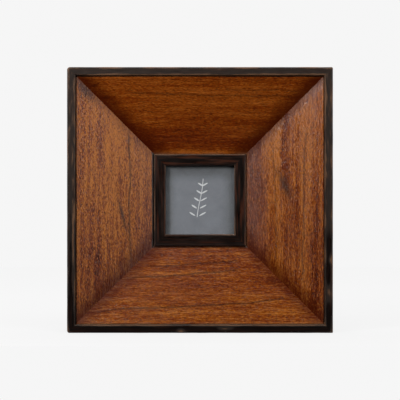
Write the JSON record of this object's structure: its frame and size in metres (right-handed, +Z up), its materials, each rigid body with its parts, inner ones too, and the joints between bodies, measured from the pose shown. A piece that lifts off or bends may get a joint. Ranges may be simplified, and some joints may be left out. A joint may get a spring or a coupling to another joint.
{
  "type": "square picture frame",
  "caption": "Square picture frame: dark rails, sloping hardwood panels falling to a small glazed picture, and a back board with turn buttons, easel strut and hanger ring.",
  "frame": {"origin": "middle of the bottom rail's underside, at mid-depth of the rails, so the frame stands on z = 0", "axes": "+X right as seen from the front, +Y from the front face to the back, +Z up"},
  "size_m": [0.25, 0.0448, 0.25],
  "materials": {
    "ebonised_wood": "black stain, rubbed through to brown wood on the arrises and corners, satin wax",
    "hardwood": "red-brown stained hardwood with open pores, grain along each panel, satin lacquer",
    "glass": "clear float glass",
    "printed_card": "satin card printed slate grey with a plain pale leaf",
    "pad_card": "plain brown corrugated card",
    "fibreboard": "bare smooth fibreboard",
    "plated_steel": "zinc-plated pressed steel"
  },
  "bodies": {
    "frame": {"rail_bottom": "ebonised_wood", "rail_left": "ebonised_wood", "rail_top": "ebonised_wood", "rail_right": "ebonised_wood", "panel_bottom": "hardwood", "panel_left": "hardwood", "panel_top": "hardwood", "panel_right": "hardwood", "inner_frame_bottom": "ebonised_wood", "inner_frame_left": "ebonised_wood", "inner_frame_top": "ebonised_wood", "inner_frame_right": "ebonised_wood", "glass_pane": "glass", "photo_card": "printed_card", "filler_pad": "pad_card", "back_board": "fibreboard", "button_screw_left_lower": "plated_steel", "button_screw_left_upper": "plated_steel", "button_screw_right_lower": "plated_steel", "button_screw_right_upper": "plated_steel", "hinge_leaf_board": "plated_steel", "hinge_pin": "plated_steel", "board_rivet_left": "plated_steel", "board_rivet_right": "plated_steel", "hanger_plate": "plated_steel", "hanger_rivet_left": "plated_steel", "hanger_rivet_right": "plated_steel"},
    "button_left_lower": {"turn_button_left_lower": "plated_steel"},
    "button_left_upper": {"turn_button_left_upper": "plated_steel"},
    "button_right_lower": {"turn_button_right_lower": "plated_steel"},
    "button_right_upper": {"turn_button_right_upper": "plated_steel"},
    "strut": {"easel_strut": "fibreboard", "hinge_leaf_strut": "plated_steel", "strut_rivet_left": "plated_steel", "strut_rivet_right": "plated_steel"},
    "ring": {"hanger_ring": "plated_steel"}
  },
  "joints": [
    {"name": "strut_fold", "type": "hinge", "parent": "frame", "child": "strut", "pos_m": [0, 0.02225, 0.152], "axis": [1, 0, 0], "range_deg": [0, 30]},
    {"name": "ring_swing", "type": "hinge", "parent": "frame", "child": "ring", "pos_m": [0, 0.02215, 0.2115], "axis": [1, 0, 0], "range_deg": [0, 180]},
    {"name": "button_left_lower_turn", "type": "hinge", "parent": "frame", "child": "button_left_lower", "pos_m": [-0.118, 0.0198, 0.06], "axis": [0, 1, 0], "continuous": true},
    {"name": "button_left_upper_turn", "type": "hinge", "parent": "frame", "child": "button_left_upper", "pos_m": [-0.118, 0.0198, 0.19], "axis": [0, 1, 0], "continuous": true},
    {"name": "button_right_lower_turn", "type": "hinge", "parent": "frame", "child": "button_right_lower", "pos_m": [0.118, 0.0198, 0.06], "axis": [0, 1, 0], "continuous": true},
    {"name": "button_right_upper_turn", "type": "hinge", "parent": "frame", "child": "button_right_upper", "pos_m": [0.118, 0.0198, 0.19], "axis": [0, 1, 0], "continuous": true}
  ]
}
